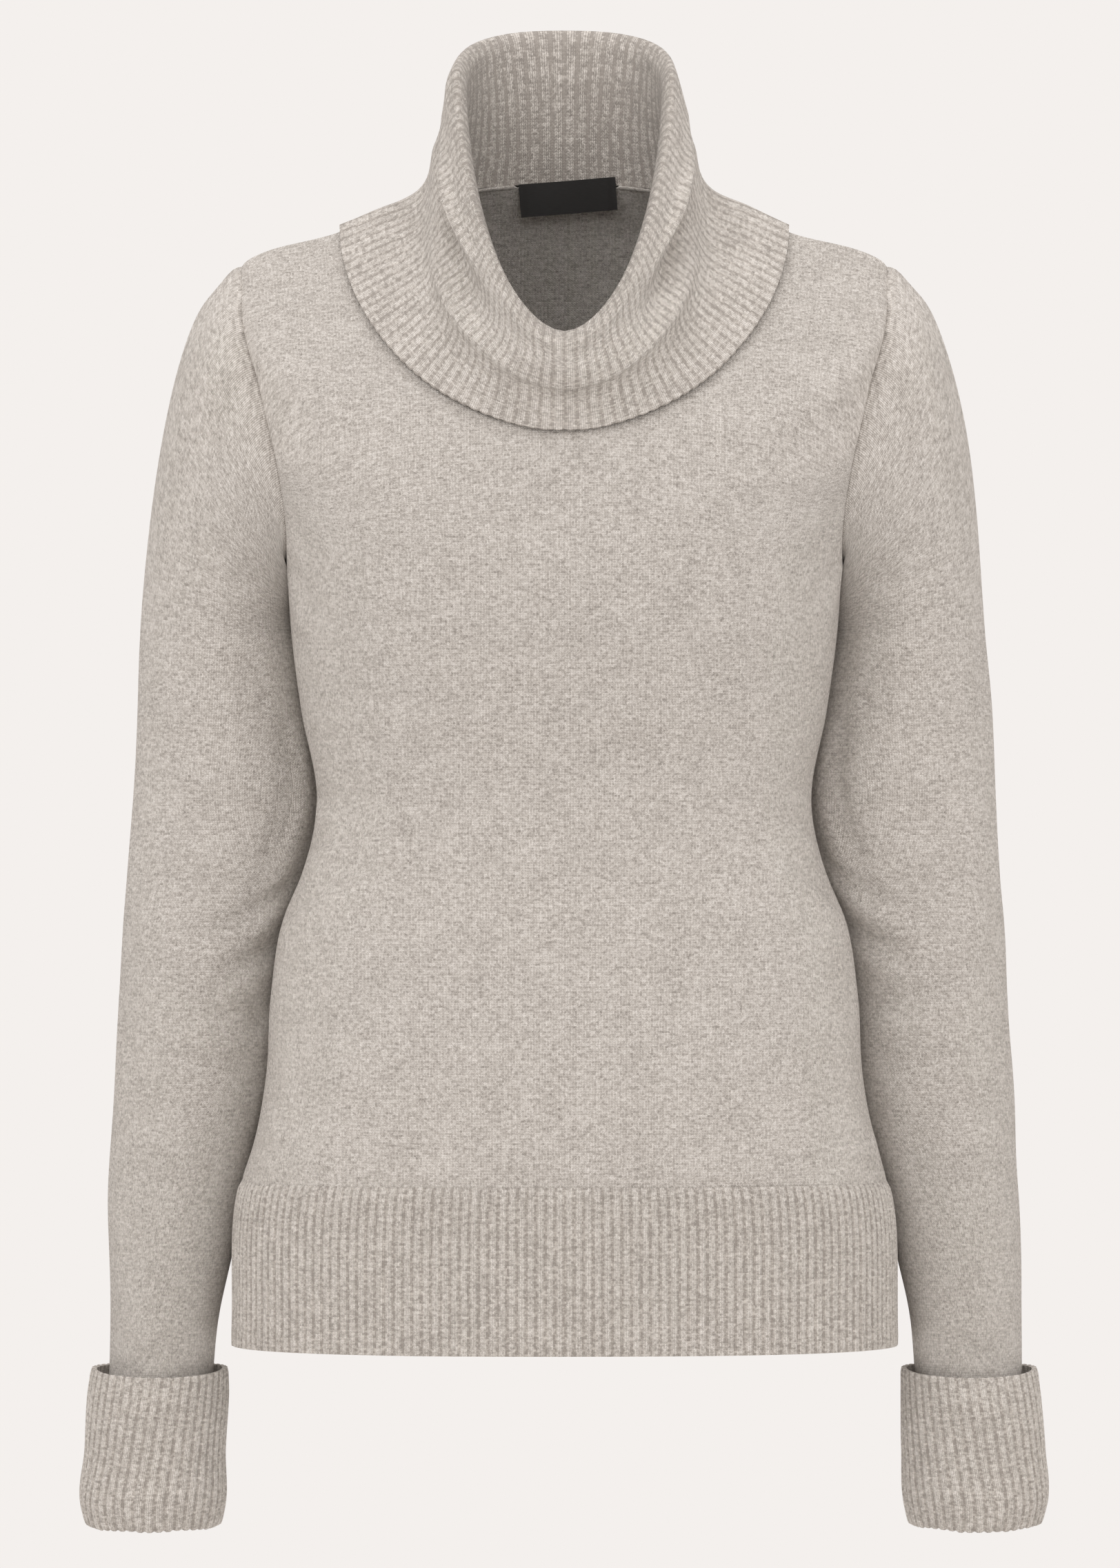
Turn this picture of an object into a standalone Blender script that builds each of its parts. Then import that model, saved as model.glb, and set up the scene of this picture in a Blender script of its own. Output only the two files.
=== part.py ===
"""A cowl neck sweater in fine wool knit, worn but with no wearer in it: front, back, set-in sleeves,
ribbed hem, turned-back ribbed cuffs, a folded-over ribbed cowl and a plain woven label.

The tables are in millimetres and are turned to metres when a mesh is made. The sweater faces -Y, its
wearer's left is at +X, and the origin is at the height of the shoulder seams' neck ends, on the middle
of the neck. Each piece of cloth is a closed wall through rings worked out from its table.
"""
import bmesh
import bpy
import numpy as np

MM = 0.001

# Driving dimensions, in millimetres
CLOTH = 2.0                 # thickness of the plain knit
RIB_CLOTH = 2.4             # thickness of the rib knit between its ridges
RIB_RELIEF = 0.9            # height of a rib's ridge
SEAM_GAP = 0.3              # between two pieces at a seam
HEM_LEVEL = 0.0             # levels are measured up the side of the body from the hem
RIB_TOP_LEVEL = 95.0
UNDERARM_LEVEL = 452.0
SHOULDER_LEVEL = 624.0
NECK_LEVEL = 740.0
ARMHOLE_HALF_ANGLE = 18.0   # degrees either way from the side line, at the armhole's widest
ARMHOLE_ROUNDNESS = 2.4
HEM_RIBS = 92               # on each of the front and the back
CUFF_RIBS = 42
COWL_FRONT_RIBS = 66        # between the sides, over the front
COWL_BACK_RIBS = 30
SLEEVE_LEAVES_HEAD = (0.99, 0.0, -0.14)     # direction in which a sleeve leaves the top of its armhole
SLEEVE_LEAVES_CHEST = (0.93, 0.0, -0.37)
SLEEVE_LEAVES_UNDERARM = (0.42, 0.10, -0.90)
SLEEVE_LEAVES_AT = (0.0, 0.45, 0.8, 1.0)    # shares of the armhole's height, from underarm to head
SLEEVE_LEAVE_PULL = 0.60                # how far it keeps that direction, as a share of the way
SLEEVE_HANG_PULL = 0.85
LABEL_WIDTH = 57.0
LABEL_HEIGHT = 19.0
LABEL_CLOTH = 0.8
LABEL_MIDDLE = 1.5          # how far its middle hangs to the wearer's left
LABEL_TOP_Z = 22.5
LABEL_TILT = 4.5            # degrees
LABEL_CLEAR = 4.6           # from the neck seam
LABEL_LEAN = 0.25           # how much closer to the back it gets on its way down

# How finely the surfaces are divided
PANEL_COLUMNS = 16
BODY_ROWS = 8
ARMHOLE_ROWS = 9
SHOULDER_ROWS = 4
CAP_ROWS = 5
SLEEVE_ROWS = 9
HEM_ROWS = 2
RIB_SIDES = 2               # outer points for each rib
PLAIN_SHARE = 4             # a ribbed wall's plain side has one point for this many on the ribbed side

TORSO_COLUMNS = ("level", "half_width", "side_y", "side_z", "front_y", "front_z", "back_y", "back_z", "square")
TORSO = (
    (0, 192.0, -6, -657, -112, -655, 107, -657, 2.50),      # hem
    (95, 186.5, -7, -562, -112, -560, 106, -562, 2.50),     # top of the hem rib
    (115, 180.0, -8, -542, -111.5, -541, 105, -542, 2.50),
    (155, 172.5, -8, -502, -110, -500, 103, -502, 2.45),    # hip
    (203, 169.5, -9, -454, -107, -453, 99, -454, 2.40),
    (247, 162.0, -10, -410, -103, -410, 94, -410, 2.40),
    (271, 152.0, -10, -386, -101, -386, 91, -386, 2.35),
    (311, 143.0, -10, -346, -99, -347, 86, -346, 2.30),     # waist
    (367, 152.0, -9, -290, -110, -293, 88, -290, 2.30),
    (412, 158.0, -7, -245, -121, -251, 93, -245, 2.35),     # fullest
    (452, 161.0, -4, -205, -127, -217, 99, -203, 2.40),     # underarm
    (517, 171.0, 2, -140, -126, -181, 105, -137, 2.40),
    (577, 182.0, 6, -80, -122, -157, 104, -83, 2.30),
    (624, 187.0, 8, -33, -118, -140, 97, -45, 2.20),        # end of the shoulder
    (681, 132.0, 6, -12.5, -112, -125, 83, -9, 2.10),
    (740, 76.0, 0, 5, -105, -110, 62, 20, 2.00),            # neck seam
)

SLEEVE_COLUMNS = ("z", "inner_x", "outer_x", "centre_y", "half_depth")
SLEEVE = (
    (-246, 154.5, 247.0, 28, 52.0),     # upper arm
    (-300, 147.5, 250.0, 28, 49.0),
    (-346, 141.8, 252.0, 28, 46.5),     # elbow
    (-386, 150.3, 255.0, 27, 44.0),
    (-410, 159.6, 257.0, 26, 43.0),
    (-454, 167.5, 259.0, 25, 41.5),
    (-502, 171.3, 261.5, 24, 39.5),
    (-542, 183.0, 263.5, 21, 37.0),
    (-570, 191.0, 264.5, 17, 35.0),
    (-610, 197.0, 264.5, 11, 32.0),
    (-645, 201.5, 264.5, 5, 29.0),
    (-682, 204.5, 264.5, 0, 28.0),      # wrist
)

# The middle of the cuff's cloth, from its seam with the sleeve down to the fold and up to the rim
CUFF_COLUMNS = ("z", "front_drop", "inner_x", "outer_x", "centre_y", "half_depth")
CUFF = (
    (-682.3, 0, 205.5, 263.5, 0, 27.0),     # seam with the sleeve
    (-718, 0, 204.8, 268.0, -1, 28.3),
    (-751, 0, 204.2, 272.0, -2, 29.8),
    (-760.2, 1, 201.6, 275.2, -2, 32.9),    # fold
    (-751, 1, 199.0, 278.2, -2, 35.8),
    (-718, 1.5, 198.0, 276.0, -1, 35.5),
    (-671.5, 3, 197.3, 272.2, 0, 34.8),     # rim
)

# The middle of the cowl's cloth, from the neck seam up the inside, over the fold and down the outside
COWL_COLUMNS = ("half_width", "side_y", "side_z", "front_y", "front_z", "back_y", "back_z", "front_square",
                "back_square")
COWL = (
    (75.3, 0, 5.8, -104.4, -109.2, 61.4, 20.9, 2.0, 2.0),       # neck seam
    (66.0, -3, 29, -107, -104, 61, 43, 2.0, 2.2),
    (60.0, -8, 50, -110, -97, 63, 67, 1.9, 2.4),
    (57.5, -12, 64, -114, -89.5, 67, 92.5, 1.8, 2.6),
    (58.3, -14, 74, -119, -83.5, 72, 107.5, 1.8, 2.6),
    (62.0, -14, 79, -124.5, -80.5, 78.5, 112.5, 1.8, 2.6),        # fold
    (65.5, -13, 74, -130.5, -84, 84, 106, 1.8, 2.6),
    (69.5, -9, 54, -136, -93.5, 85, 79, 1.8, 2.5),
    (74.5, -5, 37, -137, -104, 86, 52, 1.9, 2.4),               # roll of the front
)
# The rest of the outside lies over the body: at which share of its reach past the neck seam, how high
COWL_LAID_COLUMNS = ("front_share", "side_share", "front_height", "side_height", "back_height")
COWL_LAID = (
    (0.38, 0.22, 15.0, 6.5, 14.0),     # trough under the roll
    (0.72, 0.62, 7.0, 5.0, 6.0),
    (1.00, 1.00, 3.2, 3.0, 3.2),        # free edge
)
COWL_FOLD_ROW = 5
COWL_REACH_COLUMNS = ("front", "diagonal", "side", "back")
COWL_REACH = (27.5, 43.0, 56.0, 18.0)
# Drape of the cowl's outside: how far a fold stands out, its middle and spread from the fold line to the
# free edge (0 to 1), and its middle and spread round the neck, in degrees from the front
COWL_DRAPE_COLUMNS = ("height", "down", "down_spread", "round", "round_spread")
COWL_DRAPE = (
    (-7.0, 0.30, 0.11, 58, 24),     # trough beside the roll
    (4.5, 0.55, 0.13, 54, 22),      # swell over the collar bone
    (-3.5, 0.80, 0.08, 40, 22),     # trough above the edge
    (2.5, 0.40, 0.16, 0, 34),       # roll of the front
    (-2.5, 0.72, 0.09, 0, 36),      # trough under the roll
)
COWL_ROWS = 10
CUFF_ROWS = 6

YARN = (0.60, 0.56, 0.52, 1.0)
LABEL_BLACK = (0.01, 0.01, 0.01, 1.0)


def column(table, names, name):
    """One named column of a table, as an array."""
    return np.array([row[names.index(name)] for row in table], float)


def through(knots, values, at):
    """The smooth curve that passes through one row of values at each knot, read at the places asked for."""
    knots, values, at = (np.asarray(a, float) for a in (knots, values, at))
    slopes = np.gradient(values, knots, axis=0)
    low = np.clip(np.searchsorted(knots, at, side="right") - 1, 0, len(knots) - 2)
    span = knots[low + 1] - knots[low]
    t = (at - knots[low]) / span
    spread = (slice(None),) + (None,) * (values.ndim - 1)
    t, span = t[spread], span[spread]
    return ((2 * t**3 - 3 * t**2 + 1) * values[low] + (t**3 - 2 * t**2 + t) * span * slopes[low]
            + (3 * t**2 - 2 * t**3) * values[low + 1] + (t**3 - t**2) * span * slopes[low + 1])


def body_ring(theta, half_width, side, front, back, front_square, back_square):
    """A closed ring round the body. theta is 0 at the middle of the front and a quarter turn at +X.
    side, front and back are (y, z) where the ring crosses those lines."""
    ahead = np.cos(theta) >= 0
    square = np.where(ahead, front_square, back_square)
    across = np.sign(np.sin(theta)) * np.abs(np.sin(theta)) ** (2 / square)
    along = np.abs(np.cos(theta)) ** (2 / square)
    end_y, end_z = (np.where(ahead, front[i], back[i]) for i in (0, 1))
    return np.stack([half_width * across, side[0] + (end_y - side[0]) * along,
                     side[1] + (end_z - side[1]) * along], axis=-1)


def torso(theta, level):
    """The outer surface of the body, for arrays of theta and level of one shape."""
    theta, level = np.broadcast_arrays(np.asarray(theta, float), np.asarray(level, float))
    rows = through(column(TORSO, TORSO_COLUMNS, "level"), np.array(TORSO)[:, 1:], level.ravel())
    half_width, side_y, side_z, front_y, front_z, back_y, back_z, square = rows.T.reshape(8, *level.shape)
    return body_ring(theta, half_width, (side_y, side_z), (front_y, front_z), (back_y, back_z), square, square)


def torso_normal(theta, level, step=1e-3):
    """The direction out of the body there."""
    span = 0.5
    theta, level = np.broadcast_arrays(np.asarray(theta, float), np.asarray(level, float))
    high, low = np.minimum(level + span, NECK_LEVEL), np.maximum(level - span, HEM_LEVEL)
    up = torso(theta, high) - torso(theta, low)
    round_it = torso(theta + step, level) - torso(theta - step, level)
    return unit(np.cross(round_it, up))


def unit(vectors):
    return vectors / np.linalg.norm(vectors, axis=-1, keepdims=True)


def armhole_angle(level):
    """Half the angle that the armhole takes at this level, in radians."""
    share = (np.asarray(level, float) - UNDERARM_LEVEL) / (SHOULDER_LEVEL - UNDERARM_LEVEL)
    inside = np.clip(1 - np.abs(2 * share - 1) ** ARMHOLE_ROUNDNESS, 0, 1)
    return np.radians(ARMHOLE_HALF_ANGLE) * inside ** (1 / ARMHOLE_ROUNDNESS)


def panel_levels():
    """The rows of a body panel, with those of the armhole closer together at its ends."""
    turns = np.linspace(0, np.pi, ARMHOLE_ROWS + 1)
    armhole = UNDERARM_LEVEL + (SHOULDER_LEVEL - UNDERARM_LEVEL) * (1 - np.cos(turns)) / 2
    body = np.linspace(RIB_TOP_LEVEL, UNDERARM_LEVEL, BODY_ROWS + 1)[:-1]
    shoulder = np.linspace(SHOULDER_LEVEL, NECK_LEVEL, SHOULDER_ROWS + 1)[1:]
    return np.concatenate([body, armhole, shoulder])


def armhole_levels():
    levels = panel_levels()
    return levels[BODY_ROWS:BODY_ROWS + ARMHOLE_ROWS + 1]


def armhole_ring():
    """theta and level of the left armhole's edge, from the underarm up the front and down the back."""
    up = armhole_levels()
    front = np.pi / 2 - armhole_angle(up)
    back = np.pi / 2 + armhole_angle(up)
    return np.concatenate([front, back[-2:0:-1]]), np.concatenate([up, up[-2:0:-1]])


def sleeve_rings(turns, z):
    """The outer surface of the hanging sleeve at heights z, with turns from its inner side to the front."""
    knots = -column(SLEEVE, SLEEVE_COLUMNS, "z")
    inner, outer, centre_y, half_depth = through(knots, np.array(SLEEVE)[:, 1:], -np.asarray(z, float)).T
    middle, half = ((inner + outer) / 2)[:, None], ((outer - inner) / 2)[:, None]
    x = middle - half * np.cos(turns)[None, :]
    y = centre_y[:, None] - half_depth[:, None] * np.sin(turns)[None, :]
    return np.stack([x, y, np.broadcast_to(np.asarray(z, float)[:, None], x.shape)], axis=-1)


def sleeve_surface():
    """The left sleeve's outer surface, from its armhole to its wrist."""
    theta, level = armhole_ring()
    start = torso(theta, level)
    turns = np.linspace(0, 2 * np.pi, len(theta), endpoint=False)
    top, wrist = SLEEVE[0][0], SLEEVE[-1][0]
    hanging = sleeve_rings(turns, np.linspace(top, wrist, SLEEVE_ROWS + 1))
    end = hanging[0]
    way = np.linalg.norm(end - start, axis=-1, keepdims=True)
    height = (level - UNDERARM_LEVEL) / (SHOULDER_LEVEL - UNDERARM_LEVEL)
    directions = np.array((SLEEVE_LEAVES_UNDERARM, SLEEVE_LEAVES_CHEST, SLEEVE_LEAVES_CHEST, SLEEVE_LEAVES_HEAD))
    leaves = np.stack([np.interp(height, SLEEVE_LEAVES_AT, axis) for axis in directions.T], axis=-1)
    leave = way * SLEEVE_LEAVE_PULL * unit(leaves)
    hang = way * SLEEVE_HANG_PULL * unit(hanging[1] - hanging[0])
    cap = []
    for t in np.linspace(0, 1, CAP_ROWS + 1)[:-1]:
        cap.append((2 * t**3 - 3 * t**2 + 1) * start + (t**3 - 2 * t**2 + t) * leave
                   + (3 * t**2 - 2 * t**3) * end + (t**3 - t**2) * hang)
    return np.concatenate([np.stack(cap), hanging])


def grid_normals(grid, closed):
    """Normals of a grid of points, rows by columns, on the side that cross(columns, rows) gives."""
    along_rows = np.gradient(grid, axis=0)
    if closed:
        along_columns = np.roll(grid, -1, axis=1) - np.roll(grid, 1, axis=1)
    else:
        along_columns = np.gradient(grid, axis=1)
    return unit(np.cross(along_columns, along_rows))


def pull_back(grid, other, closed, edges):
    """Draws the named edges of both sides of a wall in by half of the seam gap."""
    inward = {"first_row": ((0,), (1,)), "last_row": ((-1,), (-2,)),
              "first_column": ((slice(None), 0), (slice(None), 1)),
              "last_column": ((slice(None), -1), (slice(None), -2))}
    for edge in edges:
        at, beside = inward[edge]
        for side in (grid, other):
            side[at] += unit(side[beside] - side[at]) * SEAM_GAP / 2
    return grid, other


def bridge(first, second):
    """Faces between a chain of corners and one with a whole number of times fewer, as fans."""
    share = (len(first) - 1) // (len(second) - 1)
    faces = []
    for i in range(len(second) - 1):
        fine = first[i * share:(i + 1) * share + 1]
        here, there = second[i], second[i + 1]
        middle = share // 2
        faces += [(fine[k], fine[k + 1], here) for k in range(middle)]
        faces += [(fine[middle], there, here)]
        faces += [(fine[k], fine[k + 1], there) for k in range(middle, share)]
    return faces


def wall(name, outer, inner, closed, material, collection):
    """A closed wall between two grids of points, rows by columns. The inner one may have fewer columns."""
    rows, columns = outer.shape[:2]
    points = np.concatenate([outer.reshape(-1, 3), inner.reshape(-1, 3)]) * MM
    outside = np.arange(rows * columns).reshape(rows, columns)
    inside = rows * columns + np.arange(rows * inner.shape[1]).reshape(rows, inner.shape[1])
    if closed:
        outside, inside = (np.column_stack([g, g[:, 0]]) for g in (outside, inside))
    faces = []
    for grid in (outside, inside):
        for low, high in zip(grid[:-1], grid[1:]):
            faces += zip(low[:-1], low[1:], high[1:], high[:-1])
    for row in (0, -1):
        faces += bridge(list(outside[row]), list(inside[row]))
    if not closed:
        for end in (0, -1):
            faces += bridge(list(outside[:, end]), list(inside[:, end]))
    mesh = bpy.data.meshes.new(name)
    mesh.from_pydata(points.tolist(), [], [tuple(int(v) for v in face) for face in faces])
    made = bmesh.new()
    made.from_mesh(mesh)
    bmesh.ops.recalc_face_normals(made, faces=made.faces)
    bmesh.ops.triangulate(made, faces=[face for face in made.faces if len(face.verts) > 3])
    made.to_mesh(mesh)
    made.free()
    mesh.shade_smooth()
    mesh.set_sharp_from_angle(angle=np.radians(50))
    mesh.materials.append(material)
    piece = bpy.data.objects.new(name, mesh)
    collection.objects.link(piece)
    return piece


def mirrored(grid):
    return grid * np.array([-1, 1, 1])


def rib_wave(count):
    """Heights of the points round a ribbed edge, 0 in the furrows and 1 on the ridges."""
    return np.arange(count * RIB_SIDES) % RIB_SIDES / (RIB_SIDES - 1)


def seam_normals():
    """Normals along the left armhole that halve the angle between the body and the sleeve."""
    theta, level = armhole_ring()
    body = torso_normal(theta, level)
    sleeve = -grid_normals(sleeve_surface(), closed=True)[0]
    middle = unit(body + sleeve)
    lean = np.clip(np.sum(middle * body, axis=-1, keepdims=True), 0.6, 1)
    return middle / lean


def body_panel(name, back, material, collection):
    levels = panel_levels()
    middle = np.pi if back else 0.0
    share = np.linspace(-1, 1, PANEL_COLUMNS + 1)
    half = np.pi / 2 - armhole_angle(levels)
    theta = middle + half[:, None] * share[None, :]
    level = np.broadcast_to(levels[:, None], theta.shape)
    outer = torso(theta, level)
    normals = torso_normal(theta, level)
    at_armhole = seam_normals()
    count = ARMHOLE_ROWS + 1
    front_edge = at_armhole[:count]
    back_edge = np.concatenate([at_armhole[:1], at_armhole[:count - 2:-1]])
    edge = back_edge if back else front_edge
    left, right = (0, -1) if back else (-1, 0)
    rows = slice(BODY_ROWS, BODY_ROWS + count)
    normals[rows, left] = edge
    normals[rows, right] = mirrored(edge)
    inner = outer - normals * CLOTH
    pull_back(outer, inner, False, ("first_row", "first_column", "last_column"))
    wall(name, outer, inner, False, material, collection)


def hem_rib(name, back, material, collection):
    middle = np.pi if back else 0.0
    levels = np.linspace(HEM_LEVEL, RIB_TOP_LEVEL, HEM_ROWS + 1)
    share = np.linspace(-1, 1, HEM_RIBS * RIB_SIDES + 1)
    theta = middle + even_angles(share, back, levels)
    level = np.broadcast_to(levels[:, None], theta.shape)
    surface, normals = torso(theta, level), torso_normal(theta, level)
    wave = np.append(rib_wave(HEM_RIBS), 0)
    outer = surface + normals * (RIB_RELIEF * wave)[None, :, None]
    inner = (surface - normals * CLOTH)[:, ::PLAIN_SHARE]
    pull_back(outer, inner, False, ("last_row", "first_column", "last_column"))
    wall(name, outer, inner, False, material, collection)


def even_angles(share, back, levels):
    """Angles from the middle of the front or back that are the same distance apart along the cloth."""
    fine = np.linspace(0, np.pi / 2, 200)
    middle = np.pi if back else 0.0
    angles = []
    for level in levels:
        ring = torso(middle + fine, np.full_like(fine, level))
        length = np.concatenate([[0], np.cumsum(np.linalg.norm(np.diff(ring, axis=0), axis=1))])
        angles.append(np.sign(share) * np.interp(np.abs(share) * length[-1], length, fine))
    return np.stack(angles)


def sleeve(name, side, material, collection):
    outer = sleeve_surface()
    normals = -grid_normals(outer, closed=True)
    normals[0] = seam_normals()
    inner = outer - normals * CLOTH
    pull_back(outer, inner, True, ("first_row", "last_row"))
    if side == "right":
        outer, inner = mirrored(outer), mirrored(inner)
    wall(name, outer, inner, True, material, collection)


def folded_rib(name, middle, ribs, mirror, material, collection):
    """A ribbed tube folded back on itself. Its ribs stand on the side that shows, inside and out."""
    normals = grid_normals(middle, closed=True)
    wave = rib_wave(ribs)
    shown = middle + normals * (RIB_CLOTH / 2 + RIB_RELIEF * wave)[None, :, None]
    hidden = (middle - normals * RIB_CLOTH / 2)[:, ::PLAIN_SHARE]
    if mirror:
        shown, hidden = mirrored(shown), mirrored(hidden)
    wall(name, shown, hidden, True, material, collection)


def cuff_middle(columns, rows):
    """The middle of the left cuff's cloth, from the sleeve's end to the rim."""
    table = np.array(CUFF)
    steps = np.linalg.norm(np.diff(table[:, [0, 3]], axis=0), axis=1)
    knots = np.concatenate([[0], np.cumsum(steps)])
    z, drop, inner, outer, centre_y, half_depth = through(knots, table, cuff_places(knots, rows)).T
    turns = np.linspace(0, 2 * np.pi, columns, endpoint=False)
    x = ((inner + outer) / 2)[:, None] - ((outer - inner) / 2)[:, None] * np.cos(turns)[None, :]
    y = centre_y[:, None] - half_depth[:, None] * np.sin(turns)[None, :]
    ahead = np.clip(np.sin(turns), 0, 1)
    return np.stack([x, y, z[:, None] - drop[:, None] * ahead[None, :]], axis=-1)


def cuff_places(knots, rows):
    """Rows of the cuff, closer together round its fold."""
    return knots if rows == len(CUFF) - 1 else np.interp(np.linspace(0, len(knots) - 1, rows + 1),
                                                         np.arange(len(knots)), knots)


def cuff(name, side, material, collection):
    middle = cuff_middle(CUFF_RIBS * RIB_SIDES, CUFF_ROWS)
    folded_rib(name, middle, CUFF_RIBS, side == "right", material, collection)


def cowl_reach(theta):
    """How far the free edge lies past the neck seam, over the body, at each angle from the front."""
    knots = np.radians((0, 45, 90, 180))
    turn = np.abs((theta + np.pi) % (2 * np.pi) - np.pi)
    front, diagonal, side, back = COWL_REACH
    ends = np.array([front, diagonal, side, back])
    return through(knots, ends, turn)


def laid_ring(theta, row):
    """A ring of the cowl that lies over the body, at a share of its reach past the neck seam."""
    front_share, side_share, front, side, back = row
    levels = np.linspace(NECK_LEVEL, UNDERARM_LEVEL, 160)
    lines = torso(theta[None, :], levels[:, None])
    steps = np.linalg.norm(np.diff(lines, axis=0), axis=2)
    length = np.concatenate([np.zeros((1, len(theta))), np.cumsum(steps, axis=0)])
    ahead = np.cos(theta) >= 0
    turned = np.cos(theta) ** 2
    share = side_share + np.where(ahead, front_share - side_share, 0) * turned
    wanted = cowl_reach(theta) * share
    level = np.array([np.interp(wanted[i], length[:, i], levels) for i in range(len(theta))])
    height = side + (np.where(ahead, front, back) - side) * turned
    return torso(theta, level) + torso_normal(theta, level) * height[:, None]


def cowl_ring(theta, row):
    half_width, side_y, side_z, front_y, front_z, back_y, back_z, front_square, back_square = row
    return body_ring(theta, half_width, (side_y, side_z), (front_y, front_z), (back_y, back_z),
                     front_square, back_square)


def spaced(ring_at, columns, front_share):
    """Points round a ring, evenly spaced over the front and over the back, from the middle of the front."""
    fine = np.linspace(0, np.pi, 721)
    ring = ring_at(fine)
    length = np.concatenate([[0], np.cumsum(np.linalg.norm(np.diff(ring, axis=0), axis=1))])
    side = np.interp(np.pi / 2, fine, length)
    half = np.linspace(0, 1, columns // 2 + 1)
    wanted = np.interp(half, (0, front_share, 1), (0, side, length[-1]))
    theta = np.interp(wanted, length, fine)
    left = ring_at(theta)
    return np.concatenate([left, mirrored(left[-2:0:-1])])


def cowl_middle(columns, rows):
    """The middle of the cowl's cloth, from the neck seam over the fold to the free edge."""
    share = COWL_FRONT_RIBS / (COWL_FRONT_RIBS + COWL_BACK_RIBS)
    rings = [spaced(lambda theta, row=row: cowl_ring(theta, row), columns, share) for row in COWL]
    rings += [spaced(lambda theta, row=row: laid_ring(theta, row), columns, share) for row in COWL_LAID]
    rings = np.stack(rings)
    back = rings[:, columns // 2]
    knots = np.concatenate([[0], np.cumsum(np.linalg.norm(np.diff(back, axis=0), axis=1))])
    kept = np.interp(np.linspace(0, len(knots) - 1, rows + 1), np.arange(len(knots)), knots)
    middle = through(knots, rings, kept)
    down = (kept - knots[COWL_FOLD_ROW]) / (knots[-1] - knots[COWL_FOLD_ROW])
    turns = np.abs(np.arange(columns) - columns * (np.arange(columns) > columns // 2))
    round_it = turns / (columns * share / 2) * 90
    return middle + grid_normals(middle, closed=True) * cowl_drape(down[:, None], round_it[None, :])[..., None]


def cowl_drape(down, round_it):
    """How far the cowl's folds stand out of it. They fade towards the fold line and the free edge."""
    height = 0
    for fold in COWL_DRAPE:
        tall, down_middle, down_spread, round_middle, round_spread = fold
        height = height + (tall * np.exp(-((down - down_middle) / down_spread) ** 2)
                           * np.exp(-((round_it - round_middle) / round_spread) ** 2))
    return height * np.clip(down / 0.12, 0, 1) * np.clip((1 - down) / 0.12, 0, 1)


def cowl(name, material, collection):
    ribs = COWL_FRONT_RIBS + COWL_BACK_RIBS
    folded_rib(name, cowl_middle(ribs * RIB_SIDES, COWL_ROWS), ribs, False, material, collection)


def label(name, material, collection):
    """A plain woven label that hangs from the back neck seam, inside."""
    across, down = np.linspace(-0.5, 0.5, 7) * LABEL_WIDTH, np.linspace(0, 1, 3) * LABEL_HEIGHT
    tilt = np.radians(LABEL_TILT)
    neck = torso(np.linspace(np.pi / 2, 3 * np.pi / 2, 181), NECK_LEVEL)
    x = LABEL_MIDDLE + across[None, :] * np.cos(tilt) + down[:, None] * np.sin(tilt)
    z = LABEL_TOP_Z + across[None, :] * np.sin(tilt) - down[:, None] * np.cos(tilt)
    seam_y = np.interp(x, neck[::-1, 0], neck[::-1, 1])
    face = np.stack([x, seam_y - LABEL_CLEAR + LABEL_LEAN * down[:, None], z], axis=-1)
    behind = face + np.array([0, LABEL_CLOTH, 0])
    wall(name, face, behind, False, material, collection)


def material(name, colour, roughness):
    made = bpy.data.materials.new(name)
    made.use_nodes = True
    shader = made.node_tree.nodes["Principled BSDF"]
    shader.inputs["Base Color"].default_value = colour
    shader.inputs["Roughness"].default_value = roughness
    shader.inputs["Metallic"].default_value = 0.0
    return made


def main():
    for thing in list(bpy.data.objects):
        bpy.data.objects.remove(thing)
    collection = bpy.data.collections.new("cowl_neck_sweater")
    bpy.context.scene.collection.children.link(collection)
    plain = material("plain_knit", YARN, 0.95)
    rib = material("rib_knit", YARN, 0.95)
    satin = material("label_satin", LABEL_BLACK, 0.5)
    body_panel("front", False, plain, collection)
    body_panel("back", True, plain, collection)
    hem_rib("hem_rib_front", False, rib, collection)
    hem_rib("hem_rib_back", True, rib, collection)
    for side in ("left", "right"):
        sleeve("sleeve_" + side, side, plain, collection)
        cuff("cuff_" + side, side, rib, collection)
    cowl("cowl", rib, collection)
    label("label", satin, collection)


main()
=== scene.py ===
import math

import bpy
import numpy as np
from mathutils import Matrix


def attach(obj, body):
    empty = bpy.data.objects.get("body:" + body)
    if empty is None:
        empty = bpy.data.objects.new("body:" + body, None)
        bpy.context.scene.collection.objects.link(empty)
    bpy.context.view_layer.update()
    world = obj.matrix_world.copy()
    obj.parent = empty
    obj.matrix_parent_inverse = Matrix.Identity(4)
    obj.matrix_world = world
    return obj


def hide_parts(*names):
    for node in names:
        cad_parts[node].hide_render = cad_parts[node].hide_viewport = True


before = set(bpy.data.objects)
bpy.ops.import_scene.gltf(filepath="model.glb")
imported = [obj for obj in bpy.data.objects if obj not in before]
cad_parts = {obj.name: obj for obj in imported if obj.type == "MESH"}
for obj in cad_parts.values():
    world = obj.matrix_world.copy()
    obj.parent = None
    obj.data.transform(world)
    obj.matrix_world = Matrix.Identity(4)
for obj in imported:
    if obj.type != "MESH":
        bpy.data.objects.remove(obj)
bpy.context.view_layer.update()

# Looks of the cowl neck sweater. Each knitted piece is a fine shell on the form of its own solid, worked out
# from the same named tables, with real ribs, soft creases and a knit material. The tables are in millimetres.

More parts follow.
